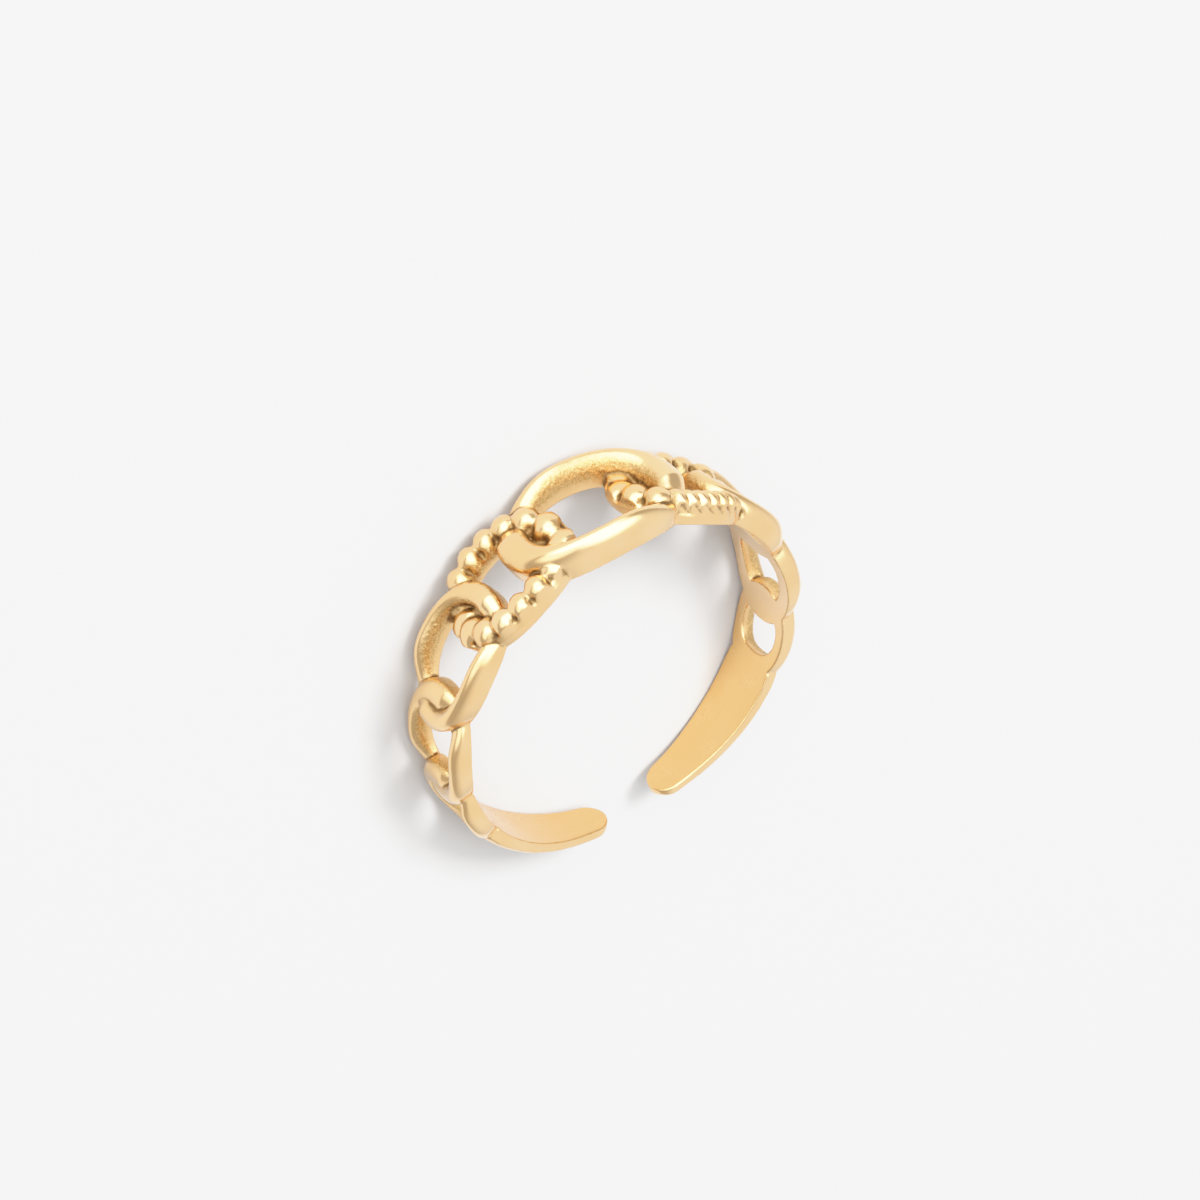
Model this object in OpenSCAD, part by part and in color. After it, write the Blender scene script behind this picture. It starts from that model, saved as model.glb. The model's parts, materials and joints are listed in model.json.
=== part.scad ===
// Open finger ring cast in one piece as a row of curb links, with a big link in the middle
// of the front, a roped link on each side of it, and a flat shank behind each outer link.
// The ring lies on its side: the finger hole stands nearly upright, the big link faces -Y
// and the opening faces +Y. The origin is on the resting plane, under the ring's middle.

/* [Finger hole] */
// Inner diameter of the ring
hole_d = 17.2; // [15:0.1:21]
// Angle from the middle of the front round to each open end
end_angle = 171.2; // [166:0.2:175]

/* [Centre link] */
// Size of the centre link across the band
centre_across = 5.6; // [5:0.1:6.4]
// Thickness of the centre link, from the inner wall to its crown
centre_thick = 1.62; // [1.3:0.02:2]
// Share of the link's thickness that stands as a flat side wall
wall_share = 0.52; // [0.35:0.01:0.7]

/* [Links] */
// Squareness of a link's outline, where 2 is an ellipse
outline_power = 2.2; // [2:0.05:2.8]
// Squareness of a link's opening, where 2 is an ellipse
opening_power = 2.4; // [2:0.05:3]
// Share of its height that a strand gains where it passes over its neighbour
over_rise = 0.05; // [0:0.01:0.12]
// Share of its height that a strand loses where it passes under its neighbour
under_drop = 0.26; // [0.15:0.01:0.35]

/* [Rope] */
// Number of bulges round each roped link
rope_bulges = 18; // [14:2:22]
// Share of the crown that a groove between two bulges cuts away
groove_share = 0.55; // [0.15:0.01:0.6]
// Slant of the grooves, as a share of the step from one bulge to the next
groove_slant = 0.6; // [0:0.05:1]

/* [Shank] */
// Width of the shank just behind its loop
shank_across = 2.96; // [2.4:0.02:3.4]
// Thickness of the shank just behind its loop
shank_thick = 0.95; // [0.7:0.01:1.3]

/* [Hidden] */

inner_r = hole_d / 2;
// Depths below the inner wall at which the links, by turns, the shank and the fills start
// before the hole is cut: all differ, so that no two undersides lie in one another
link_depths = [0.5, 0.62];
shank_depth = 0.74;
fill_depth = 0.86;

// The links on one side of the front, from the middle outward, in these columns:
// place and reach, the middle and the half-length as shares of end_angle;
// across and thick, as shares of the centre link's; strand and bend, the widths of the
// strand along the side and round the end as shares of the link's own half-width;
// roped, whether the crown is grooved.
PLACE = 0; REACH = 1; ACROSS = 2; THICK = 3; STRAND = 4; BEND = 5; ROPED = 6;
links = [
    [0.0000, 0.1607, 1.000, 1.00, 0.32, 0.48, 0],
    [0.1711, 0.1262, 0.890, 0.86, 0.42, 0.52, 1],
    [0.3207, 0.1228, 0.790, 0.78, 0.36, 0.44, 0],
    [0.4871, 0.1186, 0.715, 0.62, 0.36, 0.62, 0],
    [0.6260, 0.0970, 0.612, 0.58, 0.33, 0.76, 0]
];

// The shank from its loop to its end, in these columns: the place as a share of
// end_angle, and the width and thickness as shares of the shank's own.
FROM = 0; WIDE = 1; DEEP = 2;
shank = [
    [0.682, 0.80, 0.98],
    [0.694, 0.97, 1.00],
    [0.720, 1.00, 0.98],
    [0.765, 0.98, 0.90],
    [0.820, 0.92, 0.83],
    [0.880, 0.81, 0.77],
    [0.930, 0.70, 0.74],
    [1.000, 0.58, 0.72]
];
// Share of end_angle at which the end starts to round off
round_from = 0.966;

// Steps round a plain link, and steps to one bulge of a roped one
plain_steps = 36;
bulge_steps = 4;
// Steps along the shank before its end rounds off, and round the end
shank_steps = 10;
end_steps = 5;
// Turn at the last step round the end, just short of a quarter, which leaves a small flat
end_turn = 86;
// Share of its thickness that the shank loses at its end
end_thinning = 0.35;
// Half-angles of the points on a strand's crown, from its outer to its inner side
crown_angles = [90, 62, 31, 0, -31, -62, -90];
// Places of the points across the shank's crown, as shares of its half-width
shank_crown = [-1, -0.86, -0.5, 0, 0.5, 0.86, 1];
// Share of the shank's thickness that stands as a flat side wall
shank_wall = 0.6;
// The fill under a crossing: its length as a share of the overlap, and its width, the
// height of its rim and the rise of its middle as shares of the smaller link's
fill_reach = 0.58;
fill_across = 0.56;
fill_rim = 0.6;
fill_rise = 0.2;
fill_steps = 10;
// Share of a plain link's side wall that a roped link has, below its bulges
rope_wall = 0.65;

centre_half = centre_across / 2;
// Distance behind the hole's middle at which the shank touches the resting plane
seat_share = 0.7;
seat_back = inner_r * seat_share;
// Angle by which the ring leans back on its side until the narrow shank touches too
lean = atan((centre_half - shank_across / 2) / (inner_r + seat_back));
// Height of the hole's middle above the resting plane
centre_z = centre_half * cos(lean) - inner_r * sin(lean);
// Thickness of the shank at its end
back_thick = shank_thick * shank[len(shank) - 1][DEEP];
// Place of the hole's middle, which leaves as much of the ring in front as behind
centre_y = (inner_r + centre_thick + (inner_r + back_thick) * cos(end_angle)) / 2;

// A point on the ring, from its angle round the band, its radius and its place across
function on_band(angle, r, across) = [r * sin(angle), -r * cos(angle), across];

// One coordinate of a rounded-oval outline of the given squareness
function oval(part, power) = sign(part) * pow(abs(part), 2 / power);

// The turn that spaces steps evenly along an oval, for its half-length and half-width
function even_turn(turn, long, wide) =
    turn + (long - wide) / (long + wide) * 0.5 * sin(2 * turn) * 180 / PI;

// The share of full height that a strand has at a turn round its link: less than 1
// where it passes under a neighbour and more where it passes over one
function weave(turn) = let(s = sin(2 * turn)) 1 + (s > 0 ? over_rise * s : under_drop * s);

// The share of the crown left at a turn of a roped link, from 1 on top of a bulge
function bulge(turn, bulges) =
    let(x = 2 * (turn / 360 * bulges - floor(turn / 360 * bulges)) - 1)
    1 - groove_share * (1 - sqrt(max(0, 1 - x * x)));

// The faces of a tube over rings of equal length: a closed one joins its last ring to its
// first, and another has a cap on each of the two ends that are named
function tube_faces(rings, size, closed = false, first_cap = true, last_cap = true) = concat(
    [for (i = [0 : rings - (closed ? 1 : 2)], j = [0 : size - 1])
        let(n = (i + 1) % rings, k = (j + 1) % size)
        each [[i * size + j, n * size + k, n * size + j], [i * size + j, i * size + k, n * size + k]]],
    !closed && first_cap ? [[for (j = [size - 1 : -1 : 0]) j]] : [],
    !closed && last_cap ? [[for (j = [0 : size - 1]) (rings - 1) * size + j]] : []
);

// A table's column at a place, in a straight line between its rows
function column_at(table, where, key, value) = lookup(where, [for (row = table) [row[key], row[value]]]);

// One closed link, lying on the band at the given angle
module link(row, side, depth) {
    middle = side * row[PLACE] * end_angle;
    half_angle = row[REACH] * end_angle;
    half_long = half_angle * PI / 180 * inner_r;
    half_wide = row[ACROSS] * centre_half;
    strand = row[STRAND] * half_wide;
    bend_angle = row[BEND] * half_wide * half_angle / half_long;
    thick = row[THICK] * centre_thick;
    wall = thick * wall_share * (row[ROPED] == 1 ? rope_wall : 1);
    crown = thick - wall;
    steps = row[ROPED] == 1 ? rope_bulges * bulge_steps : plain_steps;
    slant = row[ROPED] == 1 ? groove_slant * 360 / rope_bulges : 0;

    // A point of the link at a turn round it and a share of the way in across its strand
    function at(turn, inward, height) =
        let(e = even_turn(turn - slant * (inward - 0.5), half_long, half_wide))
        let(out_a = half_angle * oval(cos(e), outline_power))
        let(in_a = (half_angle - bend_angle) * oval(cos(e), opening_power))
        let(out_w = half_wide * oval(sin(e), outline_power))
        let(in_w = (half_wide - strand) * oval(sin(e), opening_power))
        on_band(middle + out_a + (in_a - out_a) * inward,
            inner_r + height * weave(e),
            out_w + (in_w - out_w) * inward);

    function crown_point(turn, a) =
        at(turn, (1 - sin(a)) / 2,
            wall + crown * cos(a) * (row[ROPED] == 1 ? bulge(turn, rope_bulges) : 1));

    points = [for (i = [0 : steps - 1])
        let(turn = i * 360 / steps)
        each concat(
            [at(turn, 0, -depth)],
            [for (a = crown_angles) crown_point(turn, a)],
            [at(turn, 1, -depth)]
        )];
    polyhedron(points, tube_faces(steps, len(crown_angles) + 2, true), convexity = 8);
}

// The low mound of metal that joins two links under their crossing
module crossing_fill(row, next, side) {
    from = (next[PLACE] - next[REACH]) * end_angle;
    to = (row[PLACE] + row[REACH]) * end_angle;
    middle = side * (from + to) / 2;
    half_angle = (to - from) / 2 * fill_reach;
    half_wide = next[ACROSS] * centre_half * fill_across;
    thick = next[THICK] * centre_thick;
    top = 2 * fill_steps;
    points = concat(
        [for (h = [-fill_depth, thick * fill_rim], i = [0 : fill_steps - 1])
            let(t = (i + 0.5) * 360 / fill_steps)
            on_band(middle - half_angle * cos(t), inner_r + h, half_wide * sin(t))],
        [on_band(middle, inner_r + thick * (fill_rim + fill_rise), 0)]
    );
    polyhedron(points, concat(
        tube_faces(2, fill_steps, last_cap = false),
        [for (i = [0 : fill_steps - 1]) [fill_steps + i, fill_steps + (i + 1) % fill_steps, top]]
    ), convexity = 4);
}

// The flat shank from its loop to the rounded open end
module shank_blade(side) {
    first = shank[0][FROM];
    shares = concat(
        [for (i = [0 : shank_steps - 1]) first + (round_from - first) * i / shank_steps],
        [for (i = [0 : end_steps]) round_from + (1 - round_from) * sin(i * end_turn / end_steps)]
    );
    points = [for (s = shares)
        let(gone = max(0, (s - round_from) / (1 - round_from)))
        let(half = shank_across / 2 * column_at(shank, s, FROM, WIDE) * sqrt(1 - gone * gone))
        let(thick = shank_thick * column_at(shank, s, FROM, DEEP) * (1 - end_thinning * gone * gone))
        let(angle = side * s * end_angle)
        each concat(
            [on_band(angle, inner_r - shank_depth, -side * half)],
            [for (c = shank_crown)
                on_band(angle, inner_r + thick * (shank_wall + (1 - shank_wall) * sqrt(1 - c * c)),
                    side * c * half)],
            [on_band(angle, inner_r - shank_depth, side * half)]
        )];
    polyhedron(points, tube_faces(len(shares), len(shank_crown) + 2), convexity = 6);
}

module ring() {
    color("#e3bd79")
        translate([0, centre_y, centre_z])
            rotate([-lean, 0, 0])
                difference() {
                    resize([0, 0, centre_across]) {
                        for (i = [0 : len(links) - 1], side = i == 0 ? [1] : [-1, 1])
                            link(links[i], side, link_depths[i % 2]);
                        for (i = [0 : len(links) - 2], side = [-1, 1])
                            crossing_fill(links[i], links[i + 1], side);
                        for (side = [-1, 1]) shank_blade(side);
                    }
                    cylinder(r = inner_r, h = 4 * centre_across, center = true, $fn = 96);
                }
}

ring();
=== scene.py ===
# %% [markdown]
# This lesson dresses an open finger ring that was cast in one piece as a row of curb links.
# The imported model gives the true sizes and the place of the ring, and it stays as it is. A
# finer skin of the same ring is made here, because polished metal shows every flat facet.

import json
import math
from types import SimpleNamespace

import bpy
import numpy as np
from mathutils import Matrix, Vector


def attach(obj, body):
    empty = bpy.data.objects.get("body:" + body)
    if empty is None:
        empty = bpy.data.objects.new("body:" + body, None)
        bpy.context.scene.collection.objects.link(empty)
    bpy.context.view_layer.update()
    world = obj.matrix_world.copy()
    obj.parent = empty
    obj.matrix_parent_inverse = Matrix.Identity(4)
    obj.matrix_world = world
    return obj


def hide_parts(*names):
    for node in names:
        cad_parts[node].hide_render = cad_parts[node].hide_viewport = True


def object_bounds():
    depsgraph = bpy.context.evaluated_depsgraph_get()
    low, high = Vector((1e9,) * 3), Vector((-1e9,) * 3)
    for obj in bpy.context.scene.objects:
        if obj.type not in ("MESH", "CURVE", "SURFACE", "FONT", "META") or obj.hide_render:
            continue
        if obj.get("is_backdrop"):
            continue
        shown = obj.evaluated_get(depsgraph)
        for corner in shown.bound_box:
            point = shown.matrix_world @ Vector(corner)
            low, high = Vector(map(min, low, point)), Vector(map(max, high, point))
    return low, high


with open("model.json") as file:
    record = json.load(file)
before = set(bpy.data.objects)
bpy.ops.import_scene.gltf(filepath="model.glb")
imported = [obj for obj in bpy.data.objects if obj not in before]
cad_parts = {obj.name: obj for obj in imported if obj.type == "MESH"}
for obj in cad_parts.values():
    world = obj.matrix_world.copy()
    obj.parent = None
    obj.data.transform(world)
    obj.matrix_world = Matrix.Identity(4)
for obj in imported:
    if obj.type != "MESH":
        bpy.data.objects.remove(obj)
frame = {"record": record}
cad_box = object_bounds()
print("cad box", [tuple(round(v, 5) for v in corner) for corner in cad_box])

# %% [markdown]
# The finger hole is a true cylinder, and its radius, middle and axis are in the packed
# record. All that follows is worked out in millimetres round that cylinder, and one matrix
# turns a place on the band into a place in the frame. The ring lies on its side and leans
# back a little, because its big link is wider than its shank.

# %% Read the finger hole
MM = 0.001
finger = next(m for m in frame["record"]["mounts"] if m["name"] == "finger")
HOLE_R = finger["dims"]["r_mm"]
HOLE_MIDDLE = Vector(finger["pos_m"])
HOLE_AXIS = Vector(finger["axis"]).normalized()
LEAN = math.atan2(HOLE_AXIS.y, HOLE_AXIS.z)
RING_PLACE = Matrix.Translation(HOLE_MIDDLE) @ Matrix.Rotation(-LEAN, 4, "X")
BAND_TO_FRAME = RING_PLACE @ Matrix.Scale(MM, 4)
print("hole radius", HOLE_R, "mm, leaning back by", round(math.degrees(LEAN), 2), "degrees")

# %% [markdown]
# A photographer's camera has a place, a direction, a lens and, where the object isn't in the
# middle of the picture, a shift. It could be aimed by hand, but it follows the ring better
# when it is placed from it: by two angles round the ring and a distance from its middle,
# with a roll for the tilt of the camera in the hand. The angles are in radians, the distance
# is in millimetres, and the picture counts as 1200 pixels on a side.

# %% Set up the camera
FRAME_PX = 1200
CAMERA_TURN, CAMERA_RISE, CAMERA_ROLL = 0.534225, 0.744953, -0.123779
CAMERA_AWAY = 108.53
FOCAL_PX = 2422.6
CENTRE_PX = (610.7, 668.0)
SENSOR_MM = 36

out = Vector((
    math.cos(CAMERA_RISE) * math.sin(CAMERA_TURN),
    -math.sin(CAMERA_RISE),
    math.cos(CAMERA_RISE) * math.cos(CAMERA_TURN),
))
level_right = (-out).cross(Vector((0, -1, 0))).normalized()
level_up = level_right.cross(-out)
right = math.cos(CAMERA_ROLL) * level_right + math.sin(CAMERA_ROLL) * level_up
up = -math.sin(CAMERA_ROLL) * level_right + math.cos(CAMERA_ROLL) * level_up
aim = Matrix((right, up, out)).transposed().to_4x4()
aim.translation = out * CAMERA_AWAY * MM

camera = bpy.data.objects.new("camera", bpy.data.cameras.new("camera"))
bpy.context.collection.objects.link(camera)
camera.matrix_world = RING_PLACE @ aim
camera.data.sensor_width = SENSOR_MM
camera.data.lens = FOCAL_PX / FRAME_PX * SENSOR_MM
camera.data.shift_x = (FRAME_PX / 2 - CENTRE_PX[0]) / FRAME_PX
camera.data.shift_y = (CENTRE_PX[1] - FRAME_PX / 2) / FRAME_PX
camera.data.clip_start = MM
bpy.context.scene.camera = camera
print("camera stands", round(camera.location.z / MM), "mm above the floor")

# %% [markdown]
# A place on the band is an angle in degrees from the middle of the front, a distance from
# the hole's axis and a height across the band. The links could be modelled flat and bent
# round with a modifier. Working on the unrolled band in numbers keeps each link a flat oval
# on paper just as well, and the first helper rolls it up exactly. The others give the
# rounded oval that all links share, and a soft step from 0 to 1.

# %% Roll the band up
def on_band(angle, radius, across):
    turn = np.radians(angle)
    return np.stack(np.broadcast_arrays(radius * np.sin(turn), -radius * np.cos(turn), across), -1)


def unroll(place):
    """The turn from the front in radians, and the distance from the hole's axis."""
    return np.arctan2(place[:, 0], -place[:, 1]), np.hypot(place[:, 0], place[:, 1])


def oval(part, power):
    return np.sign(part) * np.abs(part) ** (2 / power)


def smooth(low, high, value):
    t = np.clip((value - low) / (high - low), 0, 1)
    return t * t * (3 - 2 * t)


print("the front of the bore is at", on_band(0, HOLE_R, 0).round(2))

# %% [markdown]
# The links are the same oval in smaller and smaller sizes, so a table suits them better than
# nine separate models. It gives their places and half-lengths as shares of the angle from
# the front to an open end, and their widths and thicknesses as shares of the big link's. The
# strand's width along the side and round the bend is a share of the link's own half-width.

# %% List the links
END_ANGLE = 171.2
CENTRE_ACROSS = 5.6
CENTRE_THICK = 1.62
WALL_SHARE = 0.52
OUTLINE_POWER, OPENING_POWER = 2.2, 2.4

COLUMNS = ("place", "reach", "across", "thick", "strand", "bend", "roped")
LINKS = [dict(zip(COLUMNS, row)) for row in [
    (0.0000, 0.1607, 1.000, 1.00, 0.32, 0.48, False),
    (0.1711, 0.1262, 0.890, 0.86, 0.42, 0.52, True),
    (0.3207, 0.1228, 0.790, 0.78, 0.36, 0.44, False),
    (0.4871, 0.1186, 0.715, 0.62, 0.36, 0.62, False),
    (0.6260, 0.0970, 0.612, 0.58, 0.33, 0.76, False),
]]
SIDES = (-1, 1)
placed_links = [(link, side) for link in LINKS for side in (SIDES if link["place"] else (1,))]
print(len(placed_links), "links round the band")

# %% [markdown]
# Where two links cross, one dips and the other rises. One wave round each link makes both,
# because a strand is over its neighbour on one diagonal and under it on the other. Each link
# could be bent by hand, but a wave keeps them alike. It is shifted round a little: a plain
# link dips nearer its bar, and a roped link nearer its bend. Along the bars it is calm. The
# last link runs into the shank on its far side, where nothing crosses it, so there it stops.

# %% Lay out a link
OVER_RISE, UNDER_DROP, WAVE_POWER, BAR_CALM = 0.05, 0.46, 0.95, 0.95
HOOK_LEAD, ROPE_LEAD = 0.4, -0.7


def link_sizes(link, side):
    half_angle = link["reach"] * END_ANGLE
    half_long = math.radians(half_angle) * HOLE_R
    half_wide = link["across"] * CENTRE_ACROSS / 2
    return SimpleNamespace(
        middle=side * link["place"] * END_ANGLE,
        half_angle=half_angle,
        half_wide=half_wide,
        strand=link["strand"] * half_wide,
        bend_angle=link["bend"] * half_wide * half_angle / half_long,
        thick=link["thick"] * CENTRE_THICK,
        spread=(half_long - half_wide) / (half_long + half_wide) / 2,
        lead=ROPE_LEAD if link["roped"] else HOOK_LEAD,
        last_side=side if link is LINKS[-1] else 0,
    )


def even_turn(size, turn):
    """The turn that spaces steps evenly along the link's oval."""
    return turn + size.spread * np.sin(2 * turn)


def on_link(size, turn, inward):
    """Angle and height across the band at a turn round the link and a share of the way in."""
    even = even_turn(size, turn)
    out_angle = size.half_angle * oval(np.cos(even), OUTLINE_POWER)
    in_angle = (size.half_angle - size.bend_angle) * oval(np.cos(even), OPENING_POWER)
    out_across = size.half_wide * oval(np.sin(even), OUTLINE_POWER)
    in_across = (size.half_wide - size.strand) * oval(np.sin(even), OPENING_POWER)
    angle = size.middle + out_angle + (in_angle - out_angle) * inward
    return angle, out_across + (in_across - out_across) * inward


def weave(size, turn):
    """The share of its full height that a strand has at a turn round its link."""
    even = even_turn(size, turn)
    wave = oval(np.sin(2 * even + size.lead), 2 / WAVE_POWER)
    wave = wave * smooth(0, BAR_CALM, np.abs(np.cos(even))) * (np.cos(even) * size.last_side <= 0)
    return 1 + np.where(wave > 0, OVER_RISE, UNDER_DROP) * wave


def strand_width(size, turn):
    outer, inner = on_link(size, turn, 0), on_link(size, turn, 1)
    return np.hypot(np.radians(outer[0] - inner[0]) * HOLE_R, outer[1] - inner[1])


big = link_sizes(LINKS[0], 1)
print("the big link spans", round(2 * big.half_angle), "degrees, and is", 2 * big.half_wide, "mm wide")

# %% [markdown]
# Each link is a closed strand with a flat floor, a flat side wall and an arched crown, and
# rounded edges where the floor meets the walls. A curve with a bevel would be the quick way,
# but it can't dip, widen and change its crown on the way round. So one section is written as
# a list of points and swept round the oval in numbers. The crown is fuller at the bends and
# more pointed along the bars. Under its beads a roped link is a lower, plainer core.

# %% Sweep one strand
LINK_STEPS = 360
CROWN_STEPS, WALL_STEPS, FLOOR_STEPS, CORNER_STEPS = 25, 4, 6, 4
CORNER = 0.09
BEND_CROWN, BAR_CROWN = 0.8, 1.35
ROPE_WALL, ROPE_CORE = 0.62, 0.6


def strand_section():
    """Share in, millimetres in, share of the wall, millimetres up and crown share, by point."""
    corner = np.radians(np.linspace(90, 0, CORNER_STEPS))
    rise = np.linspace(0, 1, WALL_STEPS + 1)[1:-1]
    crown = np.radians(np.linspace(90, -90, CROWN_STEPS))
    floor = np.linspace(1, 0, FLOOR_STEPS + 1)[1:-1]
    rows = [(0, CORNER * (1 - np.cos(a)), 0, CORNER * (1 - np.sin(a)), 0) for a in corner]
    rows += [(0, 0, h, 0, 0) for h in rise]
    rows += [((1 - math.sin(a)) / 2, 0, 1, 0, max(0, math.cos(a))) for a in crown]
    rows += [(1, 0, h, 0, 0) for h in rise[::-1]]
    rows += [(1, -CORNER * (1 - np.cos(a)), 0, CORNER * (1 - np.sin(a)), 0) for a in corner[::-1]]
    rows += [(x, 0, 0, 0, 0) for x in floor]
    return [np.array(column)[None, :] for column in zip(*rows)]


def sweep_strand(link, side):
    size = link_sizes(link, side)
    thick = size.thick * (ROPE_CORE if link["roped"] else 1)
    wall = size.thick * WALL_SHARE * (ROPE_WALL if link["roped"] else 1)
    inward, step_in, wall_share, step_up, crown = strand_section()
    turn = np.linspace(0, 2 * np.pi, LINK_STEPS, endpoint=False)[:, None]
    angle, across = on_link(size, turn, inward + step_in / strand_width(size, turn))
    on_bar = np.sin(even_turn(size, turn)) ** 2
    crown = crown ** (BEND_CROWN + (BAR_CROWN - BEND_CROWN) * on_bar)
    height = wall * wall_share + step_up + (thick - wall) * crown
    return on_band(angle, HOLE_R + height * weave(size, turn), across)


strands = [sweep_strand(link, side) for link, side in placed_links]
print(len(strands), "strands of", strands[0].shape[1], "points by", strands[0].shape[0])

# %% [markdown]
# A roped link looks like a thick wire that was twisted: slanting, overlapping beads follow
# one another round it. They are spaced by the length of the strand's middle line, not by the
# angle, or they would crowd at the bends. One roped link has finer and closer beads along
# one bar, as if that stretch had been twisted tighter, so a step there counts for more.

# %% Space the beads
ROPE_BULGES, ROPE_SHIFT = 16, 0.5
FINE_COUNT, FINE_BAR = 1.9, (0.62, 0.9)


def bead_turns(size, side):
    """The turn of each bead round its link, and the length of strand that it takes."""
    turn = np.linspace(0, 2 * np.pi, LINK_STEPS + 1)
    angle, across = on_link(size, turn, 0.5)
    steps = np.hypot(np.radians(np.diff(angle)) * (HOLE_R + size.thick / 2), np.diff(across))
    middles = (turn[1:] + turn[:-1]) / 2
    fine = smooth(*FINE_BAR, np.sin(middles)) if side < 0 else np.zeros_like(middles)
    count = 1 + (FINE_COUNT - 1) * fine
    wound = np.concatenate([[0], np.cumsum(steps * count)])
    spacing = np.sum(steps) / ROPE_BULGES
    beads = round(wound[-1] / spacing)
    places = (np.arange(beads) + ROPE_SHIFT) / beads * wound[-1]
    turns = np.interp(places, wound, turn)
    return turns, spacing / np.interp(turns, middles, count)


roped_links = [(link_sizes(link, side), side) for link, side in placed_links if link["roped"]]
print("beads on the roped links:", [len(bead_turns(size, side)[0]) for size, side in roped_links])

# %% [markdown]
# A bead is a ball stretched across the strand and turned by a slant, standing on the low
# core. Dents pressed into a smooth crown would be simpler, but where two balls meet they
# leave a shallow groove on top that opens into a deep three-cornered pit at either side, and
# dents never get those pits. The beads are trimmed flush with the link's outline. In the link
# with the finer beads, those on its other bar are worn lower and wider.

# %% Set the beads
BEAD_LONG, BEAD_WIDE, BEAD_SEAT = 1.08, 1.56, 0.36
BEAD_SLANT = math.radians(34)
BEAD_FLUSH, BEAD_FOOT = 0.985, 0.22
BEAD_ROWS, BEAD_COLUMNS, BEAD_POLE = 25, 40, 89
BEAD_STEP = 0.05
WORN_BAR, WORN_WIDER, WORN_LOWER = (0.3, 0.8), 0.15, 0.14


def flush(size, off_angle, across):
    """A place, counted from the link's middle, drawn in to just inside the link's outline."""
    outside = (np.abs(off_angle / size.half_angle) ** OUTLINE_POWER
               + np.abs(across / size.half_wide) ** OUTLINE_POWER) ** (1 / OUTLINE_POWER)
    trim = np.minimum(1, BEAD_FLUSH / outside)
    return off_angle * trim, across * trim


def bead(size, turn, spacing, worn):
    angle, across = on_link(size, np.array([turn - BEAD_STEP, turn, turn + BEAD_STEP]), 0.5)
    radius = HOLE_R + size.thick / 2
    ahead = np.array([math.radians(angle[2] - angle[0]) * radius, across[2] - across[0]])
    ahead /= np.linalg.norm(ahead)
    aside = np.array([-ahead[1], ahead[0]])
    slim = math.cos(BEAD_SLANT) * ahead + math.sin(BEAD_SLANT) * aside
    long = math.cos(BEAD_SLANT) * aside - math.sin(BEAD_SLANT) * ahead
    half_long = strand_width(size, turn) / 2 * BEAD_LONG / math.cos(BEAD_SLANT)
    half_slim = spacing / 2 * BEAD_WIDE * (1 + WORN_WIDER * worn)

    rise = np.radians(np.linspace(-BEAD_POLE, BEAD_POLE, BEAD_ROWS))[:, None]
    around = np.linspace(0, 2 * np.pi, BEAD_COLUMNS, endpoint=False)[None, :]
    step = (half_slim * (np.cos(rise) * np.cos(around))[..., None] * slim
            + half_long * (np.cos(rise) * np.sin(around))[..., None] * long)
    off_angle = angle[1] + np.degrees(step[..., 0] / radius) - size.middle
    off_angle, across = flush(size, off_angle, across[1] + step[..., 1])
    seat = size.thick * BEAD_SEAT
    top = size.thick * (1 - WORN_LOWER * worn)
    height = np.maximum(seat + (top - seat) * np.sin(rise), BEAD_FOOT * size.thick)
    return on_band(size.middle + off_angle, HOLE_R + height * weave(size, turn), across)


def rope_beads(size, side):
    turns, spacings = bead_turns(size, side)
    worn = smooth(*WORN_BAR, -np.sin(turns)) if side < 0 else np.zeros_like(turns)
    return [bead(size, *row) for row in zip(turns, spacings, worn)]


beads = [one for size, side in roped_links for one in rope_beads(size, side)]
print(len(beads), "beads")

# %% [markdown]
# Under each crossing the casting is filled with a low mound of metal, because a hair-thin
# gap wouldn't cast there. Without it the links would look like loose wires. A mound is a
# shallow dome, wider across the band than along it, that stays under the crowns. It is
# swept in rings from its foot up, because a squashed ball would bulge past the bore.

# %% Fill the crossings
FILL_REACH, FILL_ACROSS, FILL_RIM, FILL_RISE = 0.58, 0.56, 0.3, 0.12
FILL_STEPS, FILL_RINGS, FILL_TIP = 40, 8, 0.02


def sweep_mound(link, beyond, side):
    start = (beyond["place"] - beyond["reach"]) * END_ANGLE
    stop = (link["place"] + link["reach"]) * END_ANGLE
    half_angle = (stop - start) / 2 * FILL_REACH
    half_wide = beyond["across"] * CENTRE_ACROSS / 2 * FILL_ACROSS
    thick = beyond["thick"] * CENTRE_THICK
    turn = np.linspace(0, 2 * np.pi, FILL_STEPS, endpoint=False)[None, :]
    share = np.linspace(1, FILL_TIP, FILL_RINGS)[:, None]
    top = HOLE_R + thick * (FILL_RIM + FILL_RISE * (1 - share ** 2))
    floor = np.full_like(share, HOLE_R)
    share, radius = np.vstack([share[::-1], share]), np.vstack([floor, top])
    return on_band(
        side * (start + stop) / 2 - half_angle * share * np.cos(turn),
        radius, half_wide * share * np.sin(turn),
    )


mounds = [sweep_mound(a, b, side) for a, b in zip(LINKS, LINKS[1:]) for side in SIDES]
print(len(mounds), "mounds")

# %% [markdown]
# Behind the last link the band runs on as a flat shank that narrows towards a rounded end.
# It is a sweep as well: the table gives its place as a share of the angle to the open end,
# and its width and thickness as shares of the shank's own. The steps crowd together at the
# end, so that the rounding is smooth.

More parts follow.
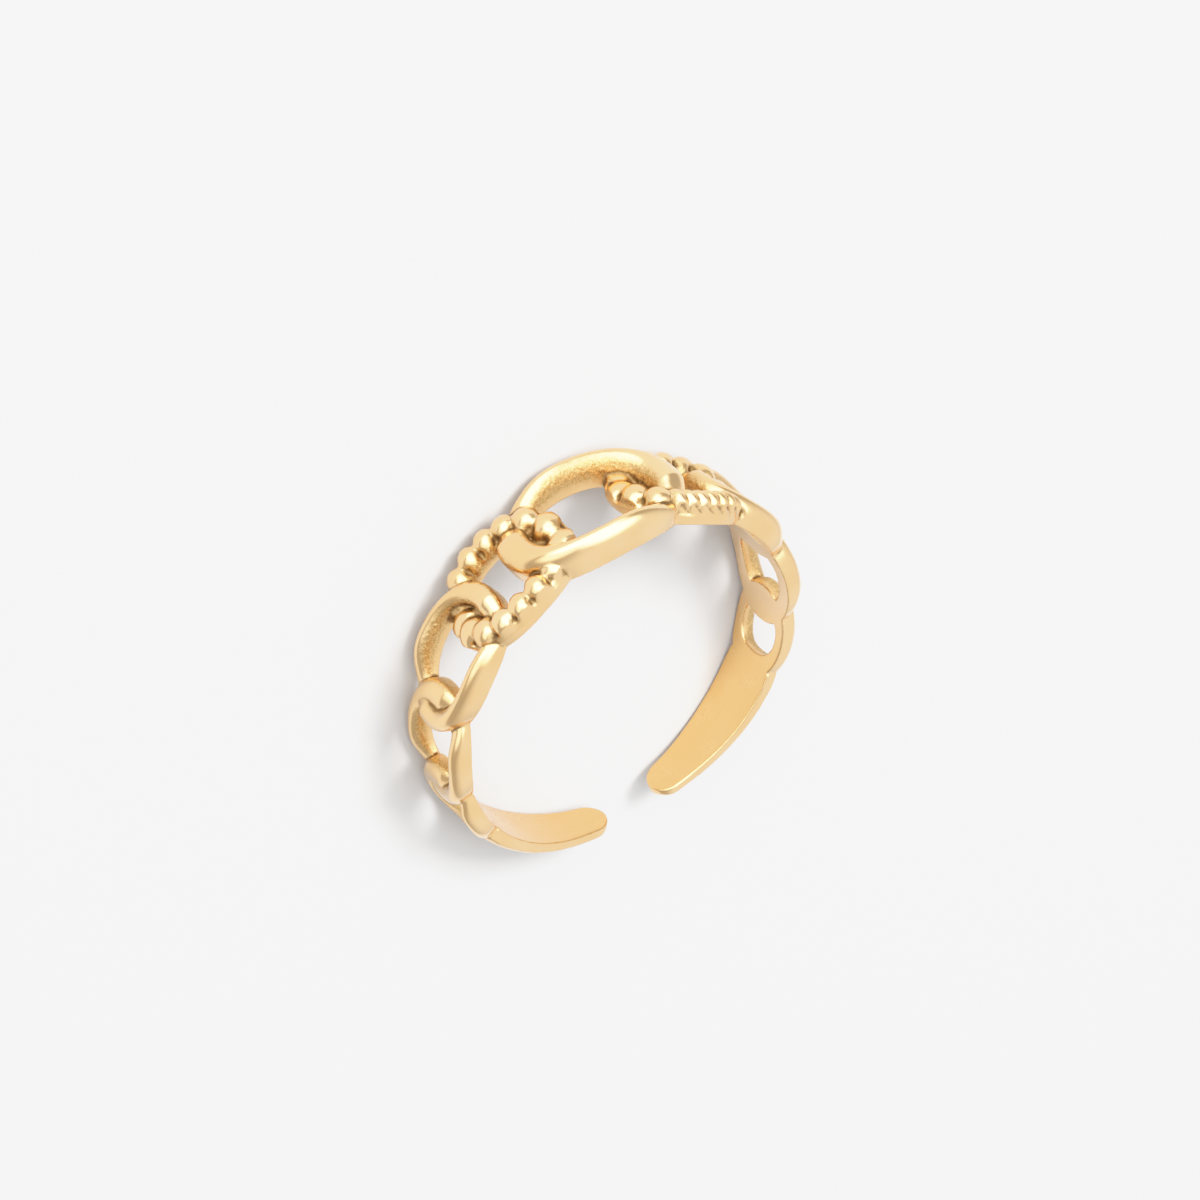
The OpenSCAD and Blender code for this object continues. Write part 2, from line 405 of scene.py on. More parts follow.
# %% Sweep the shank
SHANK_ACROSS, SHANK_THICK, SHANK_WALL = 2.96, 0.95, 0.6
SHANK_PLACES, SHANK_WIDTHS, SHANK_DEPTHS = np.array([
    (0.682, 0.80, 0.98),
    (0.694, 0.97, 1.00),
    (0.720, 1.00, 0.98),
    (0.765, 0.98, 0.90),
    (0.820, 0.92, 0.83),
    (0.880, 0.81, 0.77),
    (0.930, 0.70, 0.74),
    (1.000, 0.58, 0.72),
]).T
ROUND_FROM, ROUND_TURN, END_THINNING = 0.966, 88, 0.35
SHANK_STEPS, END_STEPS, SHANK_CROWN_STEPS, SHANK_FLOOR_STEPS = 120, 24, 24, 16
CORNER_MOST = 0.5


def sweep_shank(side):
    rounding = np.sin(np.linspace(0, math.radians(ROUND_TURN), END_STEPS))
    shares = np.concatenate([
        np.linspace(SHANK_PLACES[0], ROUND_FROM, SHANK_STEPS, endpoint=False),
        ROUND_FROM + (1 - ROUND_FROM) * rounding,
    ])[:, None]
    gone = np.maximum(0, (shares - ROUND_FROM) / (1 - ROUND_FROM))
    half = SHANK_ACROSS / 2 * np.interp(shares, SHANK_PLACES, SHANK_WIDTHS) * np.sqrt(1 - gone ** 2)
    thick = SHANK_THICK * np.interp(shares, SHANK_PLACES, SHANK_DEPTHS) * (1 - END_THINNING * gone ** 2)
    arch = np.linspace(-1, 1, SHANK_CROWN_STEPS)[None, :]
    top = thick * (SHANK_WALL + (1 - SHANK_WALL) * np.sqrt(1 - arch ** 2))
    corner = np.radians(np.linspace(0, 90, CORNER_STEPS))[None, :]
    corner_r = np.minimum(CORNER, half * CORNER_MOST)
    corner_across, corner_up = half - corner_r * (1 - np.cos(corner)), corner_r * (1 - np.sin(corner))
    flat = np.linspace(1, -1, SHANK_FLOOR_STEPS)[None, 1:-1] * (half - corner_r)
    across = np.hstack([arch * half, corner_across, flat, -corner_across[:, ::-1]])
    height = np.hstack([top, corner_up, np.zeros_like(flat), corner_up[:, ::-1]])
    return on_band(side * shares * END_ANGLE, HOLE_R + height, side * across)


shanks = [sweep_shank(side) for side in SIDES]
print(len(shanks), "sides of the shank")

# %% [markdown]
# All these closed forms go into one mesh, where they still pass through one another. A
# strand closes on itself, and each other form gets a cap on its two ends.

# %% Gather the forms
def grid_faces(rows, columns, closed, first):
    i = np.arange(rows if closed else rows - 1)[:, None]
    j = np.arange(columns)[None, :]
    n, k = (i + 1) % rows, (j + 1) % columns
    quads = np.stack(np.broadcast_arrays(
        i * columns + j, i * columns + k, n * columns + k, n * columns + j), -1).reshape(-1, 4)
    faces = (quads + first).tolist()
    if not closed:
        faces.append([first + j for j in range(columns - 1, -1, -1)])
        faces.append([first + (rows - 1) * columns + j for j in range(columns)])
    return faces


forms = [(grid, True) for grid in strands] + [(grid, False) for grid in beads + mounds + shanks]
points, faces = [], []
for grid, closed in forms:
    faces += grid_faces(grid.shape[0], grid.shape[1], closed, sum(len(p) for p in points))
    points.append(grid.reshape(-1, 3))
mesh = bpy.data.meshes.new("forms")
mesh.from_pydata(np.concatenate(points).tolist(), [], faces)
print(len(forms), "forms,", len(faces), "faces")
ring = bpy.data.objects.new("chain_ring", mesh)
bpy.context.collection.objects.link(ring)

# %% [markdown]
# A casting has no seams inside and no knife edges outside. A voxel remesh melts the forms
# into one skin, as the metal did, and a little smoothing rounds edges and creases as the
# polishing wheel does. A boolean union would keep every edge sharp, and a bevel fails on the
# small faces that a union leaves.

# %% Melt the forms into one skin
VOXEL = 0.05
POLISH_TURNS, POLISH_FORCE = 4, 0.5

remesh = ring.modifiers.new("melt", "REMESH")
remesh.mode = "VOXEL"
remesh.voxel_size = VOXEL
polish = ring.modifiers.new("polish", "SMOOTH")
polish.iterations = POLISH_TURNS
polish.factor = POLISH_FORCE


def apply_modifiers(thing):
    graph = bpy.context.evaluated_depsgraph_get()
    old = thing.data
    thing.data = bpy.data.meshes.new_from_object(thing.evaluated_get(graph))
    thing.modifiers.clear()
    bpy.data.meshes.remove(old)
    return thing.data


mesh = apply_modifiers(ring)
print("one skin of", len(mesh.polygons), "faces")

# %% [markdown]
# Relief and finish both need to know where a point lies and what is round it. Blender's
# vertex groups could be painted by hand, but numbers read from the mesh give the same answer
# on each run. The helper below averages a value over a point's neighbours, which softens a
# mask and also shows which way the skin bends.

# %% Read the skin's points
def read_points(mesh):
    place = np.empty(3 * len(mesh.vertices), np.float32)
    normal = np.empty(3 * len(mesh.vertices), np.float32)
    edges = np.empty(2 * len(mesh.edges), np.int32)
    mesh.vertices.foreach_get("co", place)
    mesh.vertices.foreach_get("normal", normal)
    mesh.edges.foreach_get("vertices", edges)
    return place.reshape(-1, 3).astype(float), normal.reshape(-1, 3).astype(float), edges.reshape(-1, 2)


def evened(values, edges, rounds):
    """The values after as many rounds of taking the mean of each point's neighbours."""
    if values.ndim > 1:
        return np.stack([evened(column, edges, rounds) for column in values.T], 1)
    ends, others = edges.ravel(), edges[:, ::-1].ravel()
    count = np.bincount(ends, minlength=len(values))
    for _ in range(rounds):
        values = np.bincount(ends, values[others], len(values)) / count
    return values


place, normal, edges = read_points(mesh)
print(len(place), "points")

# %% [markdown]
# The polishing wheel reaches the crowns and the outer sides, and misses the walls of the openings, where
# the skin of the casting stays. A point is on such a wall when it stands steeply, faces the middle of a
# link's opening, and lies inside that link's outline. Its height as a share of the link's is worked out
# too, because the walls are painted browner towards the top, partly as stain and partly as painted shade
# under the crown.

# %% Find the cast walls
FACING_IN, INSIDE_LINK = (0.1, 0.5), (0.75, 1.0)
STEEP, OFF_BORE = (0.45, 0.8), (0.03, 0.12)
LEAST_MM = 0.05
SOFTEN_ROUNDS = 4


def cast_walls(place, normal):
    """How far each point is on a steep wall that faces into a link's opening, and how high."""
    turn, radius = unroll(place)
    outward = place[:, :2] / radius[:, None]
    along = np.stack([-outward[:, 1], outward[:, 0]], 1)
    upright = np.abs((normal[:, :2] * outward).sum(1))
    face = np.stack([(normal[:, :2] * along).sum(1), normal[:, 2]], 1)
    found, share = np.zeros(len(place)), np.zeros(len(place))
    for link, side in placed_links:
        size = link_sizes(link, side)
        off_angle, across = np.degrees(turn) - size.middle, place[:, 2]
        inside = (np.abs(off_angle / size.half_angle) ** OPENING_POWER
                  + np.abs(across / size.half_wide) ** OPENING_POWER)
        to_wall = np.stack([np.radians(off_angle) * HOLE_R, across], 1)
        to_wall /= np.maximum(np.linalg.norm(to_wall, axis=1), LEAST_MM)[:, None]
        facing = -(to_wall * face).sum(1)
        here = smooth(*FACING_IN, facing) * (1 - smooth(*INSIDE_LINK, inside))
        share = np.where(here > found, (radius - HOLE_R) / size.thick, share)
        found = np.maximum(found, here)
    return found * (1 - smooth(*STEEP, upright)) * smooth(*OFF_BORE, radius - HOLE_R), share


cast = evened(cast_walls(place, normal)[0], edges, SOFTEN_ROUNDS)
print("cast walls are", round(100 * float(cast.mean()), 1), "% of the skin")

# %% [markdown]
# The walls of the openings keep the rough skin of the mould, and hand polishing leaves the
# rest not quite even. Bump in the shader could fake both, but not at the edges, where the
# outline shows. So they are real relief: the points will be moved along their normals, by
# fine grain on the cast walls and by wide, very shallow waves everywhere else.

# %% Roughen the cast walls
GRAIN_MM, GRAIN_DEEP = 0.13, 0.032
FINE_GRAIN_MM, FINE_GRAIN_SHARE = GRAIN_MM * 0.55, 0.6
GRAIN_AT_FOOT, GRAIN_FULL = 0.35, (0.2, 0.55)
WAVY_MM, WAVY_DEEP = 0.9, 0.012
HASH_BY, HASH_SCALE = (12.9898, 78.233, 37.719), 43758.5453


def lumps(place, size, seed):
    """Smooth noise from 0 to 1 on a lattice of the given size, the same in each run."""
    cell = np.floor(place / size)
    part = place / size - cell
    part = part * part * (3 - 2 * part)
    total = np.zeros(len(place))
    for corner in np.ndindex(2, 2, 2):
        mixed = np.sin((cell + corner) @ HASH_BY + seed) * HASH_SCALE
        total += (mixed - np.floor(mixed)) * np.prod(np.where(corner, part, 1 - part), axis=1)
    return total


above_bore = unroll(place)[1] - HOLE_R
grainy = lumps(place, GRAIN_MM, seed=1) + FINE_GRAIN_SHARE * lumps(place, FINE_GRAIN_MM, seed=2)
grainy -= (1 + FINE_GRAIN_SHARE) / 2
moved = cast * (GRAIN_AT_FOOT + (1 - GRAIN_AT_FOOT) * smooth(*GRAIN_FULL, above_bore))
moved *= GRAIN_DEEP * grainy
moved += (1 - cast) * WAVY_DEEP * (lumps(place, WAVY_MM, seed=3) - 0.5)
print("moved by up to", round(float(np.abs(moved).max()), 3), "mm")

# %% [markdown]
# The grooves between two beads end in small pits, where the wheel never reaches. The melting
# filled them a little, so they are pressed in again, deepest in the middle. Coarse beads get
# one pit at the outer edge and one at the inner edge. Fine beads get a row of shallower
# spots down the outer side, which join into a slanting groove, and one inner pit. A spot is
# a share of the way in, a step up from the pits' height as a share of the thickness, and a
# share of the full depth. The bore stays smooth.

# %% Press in the pits
PIT_MM, PIT_SPACING, PIT_DEEP = 0.23, 0.96, 0.14
PIT_OUTER, PIT_INNER, PIT_HEIGHT = 0.12, 0.85, 0.66
PIT_SPOTS = [(PIT_OUTER, 0, 1.0), (PIT_INNER, 0, 1.0)]
FINE_SPACING, FINE_SLANT, FINE_OUTER, FINE_ROW, FINE_DOWN = 0.7, 0.5, 0.02, 7, 0.05
FINE_DEEP, FINE_FADE, FINE_INNER_DEEP = 0.75, 0.09, 0.8
FINE_SPOTS = [(FINE_OUTER, -FINE_DOWN * k, FINE_DEEP - FINE_FADE * k) for k in range(FINE_ROW)]
FINE_SPOTS.append((PIT_INNER, 0, FINE_INNER_DEEP))
KEEP_BORE = (0.02, 0.12)


def pits(place):
    """How near each point is to a pit between two beads, at either side of a roped strand."""
    near = np.zeros(len(place))
    for size, side in roped_links:
        turns, spacings = bead_turns(size, side)
        grooves = (turns + np.append(turns[1:], turns[0] + 2 * np.pi)) / 2
        for turn, spacing in zip(grooves, spacings):
            for inward, raised, deep in FINE_SPOTS if spacing < FINE_SPACING else PIT_SPOTS:
                angle, across = on_link(size, turn - FINE_SLANT * raised, inward)
                height = size.thick * (PIT_HEIGHT + raised) * weave(size, turn)
                reach = PIT_MM * spacing / PIT_SPACING
                away = ((place - on_band(angle, HOLE_R + height, across)) ** 2).sum(1)
                near = np.maximum(near, deep * np.exp(-away / reach ** 2))
    return near


moved -= PIT_DEEP * pits(place)
moved *= smooth(*KEEP_BORE, above_bore)
mesh.vertices.foreach_set("co", (place + normal * moved[:, None]).astype(np.float32).ravel())
mesh.update()
print("the skin is pressed in by up to", round(-float(moved.min()), 3), "mm")

# %% [markdown]
# The dense skin has more faces than the finished model needs. Coarser voxels would lose the
# pits, so it is thinned out where it is nearly flat instead. The thinned skin borrows the
# dense one's normals, so that reflections stay as smooth as before. It then rides on the
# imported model's body and stands for its ring.

# %% Thin out the skin
MOST_TRIANGLES = 194_000
mesh.shade_smooth()
dense = bpy.data.objects.new("dense", mesh.copy())
bpy.context.collection.objects.link(dense)
thin = ring.modifiers.new("thin", "DECIMATE")
thin.ratio = min(1, MOST_TRIANGLES / (2 * len(mesh.polygons)))
carry = ring.modifiers.new("carry", "DATA_TRANSFER")
carry.object = dense
carry.use_loop_data = True
carry.data_types_loops = {"CUSTOM_NORMAL"}
carry.loop_mapping = "POLYINTERP_NEAREST"
mesh = apply_modifiers(ring)
bpy.data.objects.remove(dense)
mesh.calc_loop_triangles()
print("thinned to", len(mesh.loop_triangles), "triangles")

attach(ring, "root")
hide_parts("ring")

# %% [markdown]
# A point lies in a hollow where it is lower than the mean of its neighbours. Few rounds of
# averaging find the narrow seams between beads, and many rounds find the wide creases where
# links cross. A shader could ask for the skin's bend by itself, but that answer changes with
# each edge of the mesh, so the marks are worked out here and kept on the points, by name.

# %% Mark the creases and the seams
CREASE_ROUNDS, CREASE = 30, (0.006, 0.05)
SEAM_ROUNDS, SEAM, SEAM_HOLLOW = 3, (0.004, 0.014), (0, 0.02)
HOLLOW_SOFTEN = 2
# The pits are painted dark like the seams, partly as dirt and partly as painted shade.
PIT_DIRT_AND_SHADE = (0.72, 0.95)
BORE_FACING = (0.7, 0.95)


def keep(mesh, name, values):
    layer = mesh.attributes.new(name, "FLOAT", "POINT")
    layer.data.foreach_set("value", values.astype(np.float32))
    print(name, "covers", round(100 * float(values.mean()), 1), "% of the points")


place, normal, edges = read_points(mesh)
turn, radius = unroll(place)
near_mean = evened(place, edges, SEAM_ROUNDS)
far_mean = evened(near_mean, edges, CREASE_ROUNDS - SEAM_ROUNDS)
seam = ((near_mean - place) * normal).sum(1)
hollow = evened(((far_mean - place) * normal).sum(1), edges, HOLLOW_SOFTEN)
bore = smooth(*BORE_FACING, -(normal[:, :2] * place[:, :2] / radius[:, None]).sum(1))
seam = smooth(*SEAM, seam) * smooth(*SEAM_HOLLOW, hollow)
# The crease and seam marks tell the colour where to paint the hollows dark brown, partly as dirt and partly
# as painted shade.
keep(mesh, "crease", smooth(*CREASE, hollow) * (1 - bore))
keep(mesh, "seam", np.maximum(seam, smooth(*PIT_DIRT_AND_SHADE, pits(place))) * (1 - bore))
keep(mesh, "bore", bore)

# %% [markdown]
# The inner wall of the links is matt, and towards the shank it turns into a brushed shine, so a second mark
# fades out along the band. The same mark paints the links' bore paler, a painted sheen, and the bore
# towards the shank amber, a painted shade. On the cast walls the metal is painted browner in the upper
# part, partly as stain and partly as painted shade under the crown. Each point also keeps its place on the
# unrolled band, along which the brushed lines run. Last, the skin moves from the band's millimetres into
# the frame.

# %% Mark the satin and painted sheen, the cast walls and their painted shade, and the way along the band
SATIN_AND_SHEEN_FADE, SATIN_AND_SHEEN_LOST = (85, 120), 0.85
STAIN_AND_SHADE_LOW, STAIN_AND_SHADE_HIGH, STAIN_AND_SHADE_LOW_SHARE = (0.1, 0.3), (0.28, 0.42), 0.25
MARK_SOFTEN = 3

# This mark is the matt satin, and it also paints the links' bore paler as a painted sheen.
keep(mesh, "satin", bore * (1 - SATIN_AND_SHEEN_LOST * smooth(*SATIN_AND_SHEEN_FADE, np.degrees(np.abs(turn)))))
cast, share = cast_walls(place, normal)
cast = evened(cast, edges, MARK_SOFTEN)
keep(mesh, "cast", cast)
# Towards the top the cast walls are painted browner, partly as stain and partly as painted shade under the
# crown.
upper = STAIN_AND_SHADE_LOW_SHARE * smooth(*STAIN_AND_SHADE_LOW, share) + (1 - STAIN_AND_SHADE_LOW_SHARE) * smooth(*STAIN_AND_SHADE_HIGH, share)
keep(mesh, "mottle", cast * upper)
layer = mesh.attributes.new("unrolled", "FLOAT_VECTOR", "POINT")
along = np.stack([turn * HOLE_R, radius, place[:, 2]], 1)
layer.data.foreach_set("vector", along.astype(np.float32).ravel())
mesh.transform(BAND_TO_FRAME)

# %% [markdown]
# Materials are made of nodes, and arithmetic on them reads best as arithmetic. A wire is a
# node's output that can be added and multiplied, and each sum adds its Math node. The wires
# of one tree come from one method, which sets a node up and joins its sockets.

# %% Write shader maths as sums
class Wire:
    """An output socket that can be used in sums; each sum adds its Math node."""

    def __init__(self, wires, socket):
        self.wires, self.socket = wires, socket

    def maths(self, operation, *values):
        return self.wires.add("ShaderNodeMath", {"operation": operation}, dict(enumerate(values)))

    def __add__(self, other):
        return self.maths("ADD", self, other)

    def __sub__(self, other):
        return self.maths("SUBTRACT", self, other)

    def __rsub__(self, other):
        return self.maths("SUBTRACT", other, self)

    def __mul__(self, other):
        return self.maths("MULTIPLY", self, other)

    __radd__ = __add__
    __rmul__ = __mul__


class Wires:
    """The nodes of one tree."""

    def __init__(self, tree):
        self.tree = tree

    def add(self, kind="", settings=None, inputs=None, out=0, node=None):
        """A node with its settings set first, then the values or links of its sockets."""
        node = node or self.tree.nodes.new(kind)
        for name, value in (settings or {}).items():
            setattr(node, name, value)
        for key, value in (inputs or {}).items():
            if isinstance(value, Wire):
                self.tree.links.new(value.socket, node.inputs[key])
            else:
                node.inputs[key].default_value = value
        return Wire(self, node.outputs[out])

    def blend(self, factor, first, second):
        """A mix of two colours. The Mix node has its colours at 6 and 7, and their mix at 2."""
        return self.add("ShaderNodeMix", {"data_type": "RGBA"}, {0: factor, 6: first, 7: second}, 2)


# %% [markdown]
# The finish needs the marks that were kept, and noise at the sizes of real things: faint
# clouds in the plating, specks of dirt, and the lines that a brush leaves. Image textures
# would need the skin unwrapped. Noise in the object's own space has no seams, and noise on
# the unrolled band can be stretched along it.

# %% Fetch the marks and the grains
GRAIN_DETAIL, GRAIN_ROUGHNESS = 2, 0.5
CRUMBLY = (3, 0.6)
BRUSH_LONG_MM, BRUSH_WIDE_MM = 3, 0.07
CLOUD_MM, SPECK_MM, CAST_MM = 2.2, 0.09, 0.08
CLOUD_EDGE, SPECK_EDGE, STAIN_EDGE = (0.3, 0.7), (0.45, 0.65), (0.42, 0.62)

gold = bpy.data.materials.new("gold")
gold.use_nodes = True
metal = Wires(gold.node_tree)
spot = metal.add("ShaderNodeTexCoord", out="Object")


def mark(name, out="Fac"):
    return metal.add("ShaderNodeAttribute", {"attribute_name": name}, out=out)


def grain(size_mm, detail=GRAIN_DETAIL, roughness=GRAIN_ROUGHNESS):
    return metal.add("ShaderNodeTexNoise", {}, {
        "Vector": spot, "Scale": 1 / (size_mm * MM), "Detail": detail, "Roughness": roughness}, "Fac")


def streaks(long_mm, wide_mm):
    where = metal.add("ShaderNodeMapping", {}, {
        "Vector": mark("unrolled", "Vector"), "Scale": (1 / long_mm, 1 / wide_mm, 1 / wide_mm)})
    detail, roughness = CRUMBLY
    return metal.add("ShaderNodeTexNoise", {}, {
        "Vector": where, "Scale": 1.0, "Detail": detail, "Roughness": roughness}, "Fac")


def between(value, low, high):
    return metal.add("ShaderNodeMapRange", {"interpolation_type": "SMOOTHSTEP"}, {
        "Value": value, "From Min": low, "From Max": high})


crease, seam, cast, bore, satin, mottle = map(mark, ("crease", "seam", "cast", "bore", "satin", "mottle"))
brushed = streaks(BRUSH_LONG_MM, BRUSH_WIDE_MM)
cloud = between(grain(CLOUD_MM), *CLOUD_EDGE)
speck = between(grain(SPECK_MM, *CRUMBLY), *SPECK_EDGE)
stain = between(grain(CAST_MM, *CRUMBLY), *STAIN_EDGE)
print("gold starts with", len(gold.node_tree.nodes), "nodes")

# %% [markdown]
# The metal is brass with a thin gold plating. The plating is pale on the polished crowns and deeper where
# the wheel didn't reach. The inside is painted paler at the links, a painted sheen, and amber towards the
# shank, a painted shade. The upper cast walls are painted brown, partly as stain and partly as painted
# shade under the crowns. The creases and seams are painted dark brown, partly as dirt and polish and partly
# as painted shade. One flat colour would look like plastic, so these are laid over one another in turn. A
# strength is an even share and a share that follows a grain.

# %% Mix the colour
# Of these colours, the satin one is a painted sheen on the links' bore, the amber one a painted shade on
# the bore towards the shank, the brown one stain and painted shade on the upper cast walls, and the darkest
# one dirt and painted shade in the creases and seams.
PALE, DEEP, PAINTED_SHADE_AMBER = (0.94, 0.61, 0.29, 1), (0.87, 0.5, 0.18, 1), (0.81, 0.44, 0.12, 1)
CAST_GOLD, PAINTED_SHEEN = (0.88, 0.57, 0.27, 1), (0.94, 0.69, 0.43, 1)
BROWN, DIRT_AND_SHADE = (0.48, 0.29, 0.09, 1), (0.22, 0.13, 0.05, 1)
CLOUDY, CAST_TONE, SEAM_TONE = 0.5, 0.7, 0.85
PAINTED_SHEEN_TONE, PAINTED_SHADE_AMBER_TONE, BROWN_TONE, DIRT_AND_SHADE_TONE = (0.65, 0.3), (0.5, 0.5), (0.35, 0.6), (0.7, 0.3)


def strength(shares, texture):
    even, grown = shares
    return even + grown * texture


colour = metal.blend(cloud * CLOUDY, PALE, DEEP)
colour = metal.blend(cast * CAST_TONE, colour, CAST_GOLD)
# The links' bore is painted paler, a painted sheen, along the brush lines.
colour = metal.blend(satin * strength(PAINTED_SHEEN_TONE, brushed), colour, PAINTED_SHEEN)
# The bore towards the shank is painted amber, a painted shade, along the brush lines.
colour = metal.blend((bore - satin) * strength(PAINTED_SHADE_AMBER_TONE, brushed), colour, PAINTED_SHADE_AMBER)
# The upper cast walls are painted brown, partly as stain and partly as painted shade under the crown.
colour = metal.blend(mottle * strength(BROWN_TONE, stain), colour, BROWN)
# Creases and seams are painted dark brown, partly as dirt and partly as painted shade in the hollows.
colour = metal.blend(crease * strength(DIRT_AND_SHADE_TONE, speck), colour, DIRT_AND_SHADE)
colour = metal.blend(seam * SEAM_TONE, colour, DIRT_AND_SHADE)
print("colour mixed, now", len(gold.node_tree.nodes), "nodes")

# %% [markdown]
# Roughness does most of the work: the crowns are nearly mirrors, dulled in patches by wiping, and the
# creases, the cast walls and the satin are rougher. Plated jewellery can have a thin lacquer, whose white
# reflections pale the highlights, and a clear coat gives them. It is left off the creases and mostly off
# the cast walls, where it would turn their painted dirt and shade grey. Finer relief than the skin's points
# can hold is bump. Both tables list a share and where it goes.

# %% Set the gloss and the relief
COAT, COAT_IOR, COAT_ROUGH, COAT_LOST_ON_CAST = 0.6, 1.6, 0.12, 0.7
SMOOTHEST, WIPE_MM, WIPE_DETAIL, WIPE_EDGE = 0.16, 0.35, 3, (0.4, 0.7)
RELIEF_MM = 0.02
SAND_MM, DULL_MM, FAINT_MM, UNEVEN_MM, UNEVEN_DETAIL = 0.22, 0.07, 0.12, 1.3, 1


def weighted(pairs, start=0):
    return sum((share * mask for share, mask in pairs), start)


wiped = between(grain(WIPE_MM, WIPE_DETAIL), *WIPE_EDGE)
rougher = ((0.04, cloud), (0.05, wiped), (0.08, bore), (0.16, satin), (0.2, cast), (0.2, crease))
relief = (
    (1.1, cast * grain(CAST_MM, *CRUMBLY)),
    (0.6, cast * grain(SAND_MM)),
    (0.3, crease * grain(DULL_MM)),
    (0.35, bore * brushed),
    (0.2, satin * grain(DULL_MM)),
    (0.06, grain(FAINT_MM)),
    (0.5, grain(UNEVEN_MM, UNEVEN_DETAIL)),
)
bump = {"Strength": 1.0, "Distance": RELIEF_MM * MM, "Height": weighted(relief)}
metal.add(node=gold.node_tree.nodes["Principled BSDF"], inputs={
    "Base Color": colour,
    "Metallic": 1.0,
    "Coat Weight": COAT * (1 - crease) * (1 - cast * COAT_LOST_ON_CAST),
    "Coat IOR": COAT_IOR,
    "Coat Roughness": COAT_ROUGH,
    "Roughness": weighted(rougher, SMOOTHEST),
    "Normal": metal.add("ShaderNodeBump", {}, bump),
})
mesh.materials.clear()
mesh.materials.append(gold)
print("gold finished, with", len(gold.node_tree.nodes), "nodes")

# %% [markdown]
# The ring lies on a sheet of plain pale paper, which has a faint grain. A plane that is wide
# enough to reach the horizon is all it needs, and it isn't part of the object.

# %% Lay out the floor
FLOOR_HALF = 3
PAPER_DARK, PAPER_PALE = (0.475, 0.475, 0.478, 1), (0.49, 0.49, 0.493, 1)
PAPER_ROUGH, FIBRES_PER_M, FIBRE_DETAIL = (0.85, 0.1), 900.0, 3.0

bpy.ops.mesh.primitive_plane_add(size=2 * FLOOR_HALF, location=(0, 0, 0))
floor = bpy.context.object
floor.name = "floor"
paper = bpy.data.materials.new("paper")
paper.use_nodes = True
sheet = Wires(paper.node_tree)
on_sheet = sheet.add("ShaderNodeTexCoord", out="Object")
fibres = sheet.add("ShaderNodeTexNoise", {}, {
    "Vector": on_sheet, "Scale": FIBRES_PER_M, "Detail": FIBRE_DETAIL}, "Fac")
sheet.add(node=paper.node_tree.nodes["Principled BSDF"], inputs={
    "Base Color": sheet.blend(fibres, PAPER_DARK, PAPER_PALE),
    "Roughness": strength(PAPER_ROUGH, fibres),
})
floor.data.materials.append(paper)
floor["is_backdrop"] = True
print("floor of", 2 * FLOOR_HALF, "m")

# %% [markdown]
# Polished metal shows the room more than its own colour, so the light is a room of soft
# patches: a large window in front, one overhead, and weaker ones to the right and behind.
# Lamps could make them too, but patches painted on the world give smooth reflections without
# edges. The table gives each one's turn from the front and rise in degrees, its reach, its
# soft edge and its strength. Past the paper's edge the camera sees plain white.

# %% Paint the room
ROOM_LIGHT, SEEN_LIGHT = 0.49, 1.0
PATCHES = (
    (6, 26, 18, 22, 2.6),
    (-34, 66, 10, 22, 2.8),
    (52, 42, 10, 28, 1.4),
    (-140, 45, 25, 40, 0.5),
)
world = bpy.data.worlds.new("studio")
world.use_nodes = True
studio = Wires(world.node_tree)
way = studio.add("ShaderNodeTexCoord", out="Generated")


def towards(turn, rise):
    turn, rise = math.radians(turn), math.radians(rise)
    return Vector((math.sin(turn) * math.cos(rise), -math.cos(turn) * math.cos(rise), math.sin(rise)))


def patch(turn, rise, reach, fade, strength):
    near = studio.add("ShaderNodeVectorMath", {"operation": "DOT_PRODUCT"}, {
        0: way, 1: towards(turn, rise)}, "Value")
    edge, full = math.cos(math.radians(reach + fade)), math.cos(math.radians(reach))
    return studio.add("ShaderNodeMapRange", {"interpolation_type": "SMOOTHSTEP"}, {
        "Value": near, "From Min": edge, "From Max": full, "To Min": 0, "To Max": strength})


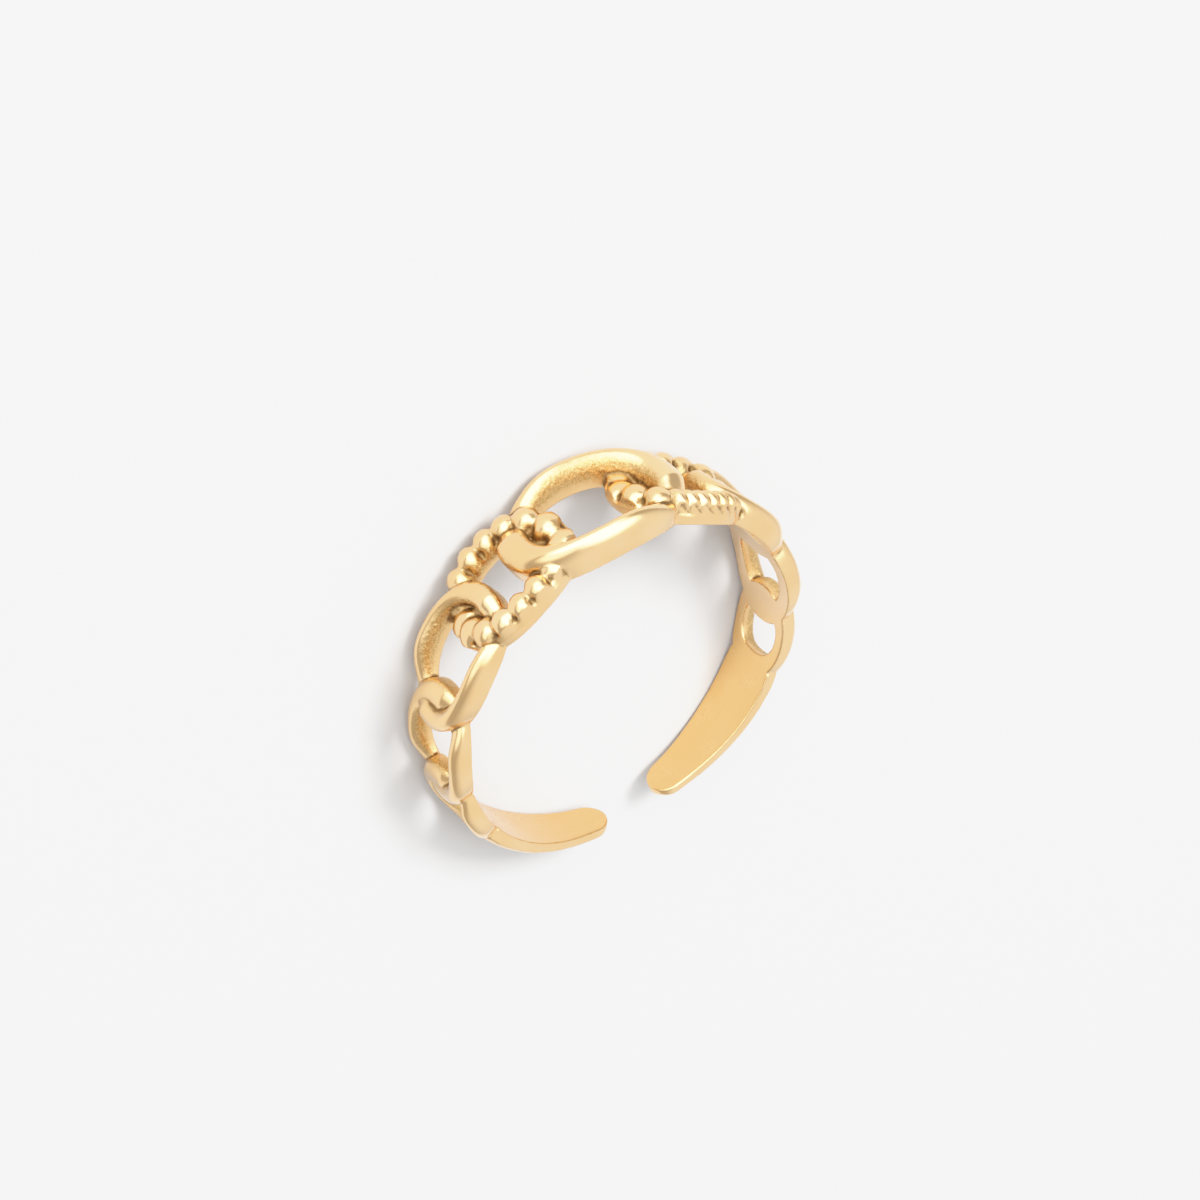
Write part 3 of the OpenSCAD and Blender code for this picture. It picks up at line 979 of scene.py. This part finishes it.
light = sum((patch(*row) for row in PATCHES), ROOM_LIGHT)
seen = studio.add("ShaderNodeLightPath", out="Is Camera Ray")
light = light + (SEEN_LIGHT - light) * seen
grey = studio.add("ShaderNodeCombineColor", {}, {"Red": light, "Green": light, "Blue": light})
studio.add(node=world.node_tree.nodes["Background"], inputs={"Color": grey})
bpy.context.scene.world = world
print(len(PATCHES), "patches of light")

# %% [markdown]
# The painted room is so soft that the ring would hardly have a shadow. One square lamp to
# the left throws it on the paper. The metal doesn't mirror the lamp, because a bright square
# with hard edges would spoil the soft reflections.

# %% Hang the lamp
LAMP_TURN, LAMP_RISE, LAMP_AWAY = -40, 48, 0.45
LAMP_SIZE, LAMP_WATTS = 0.16, 1.9

lamp = bpy.data.objects.new("side", bpy.data.lights.new("side", "AREA"))
bpy.context.collection.objects.link(lamp)
lamp.data.shape = "SQUARE"
lamp.data.size = LAMP_SIZE
lamp.data.energy = LAMP_WATTS
lamp.location = LAMP_AWAY * towards(LAMP_TURN, LAMP_RISE)
lamp.rotation_euler = (-towards(LAMP_TURN, LAMP_RISE)).to_track_quat("-Z", "Y").to_euler()
lamp.visible_camera = False
lamp.visible_glossy = False
print("lamp of", LAMP_WATTS, "W")

# %% [markdown]
# A photograph rolls off its brightest parts, so that highlights go from gold to white
# instead of breaking off. A darker room would save them too, but it would dull the rest. So
# the camera's tone curve leaves what is below the knee nearly as it is, and bends over above.

# %% Roll off the highlights
KNEE = (0.8, 0.8)
SHOULDER = ((1.0, 0.905), (1.2, 0.955), (1.5, 1.0))
ALL_COLOURS = 3

view = bpy.context.scene.view_settings
view.view_transform = "Standard"
view.use_curve_mapping = True
view.curve_mapping.use_clip = False
curve = view.curve_mapping.curves[ALL_COLOURS]
curve.points[1].location = KNEE
for bright, shown in SHOULDER:
    curve.points.new(bright, shown)
view.curve_mapping.update()
print("tone curve of", len(curve.points), "points")

# %% [markdown]
# The dressed ring has to keep the imported model's size. Its own box is measured last, both
# boxes are written down, and the most that it reaches past the imported one is printed.

# %% Measure the sizes
dressed_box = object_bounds()
past_low = max(cad - dressed for cad, dressed in zip(cad_box[0], dressed_box[0]))
past_high = max(dressed - cad for cad, dressed in zip(cad_box[1], dressed_box[1]))
print("dressed box", [tuple(round(v, 5) for v in corner) for corner in dressed_box])
print("reaches past the cad box by", round(max(past_low, past_high) / MM, 3), "mm")
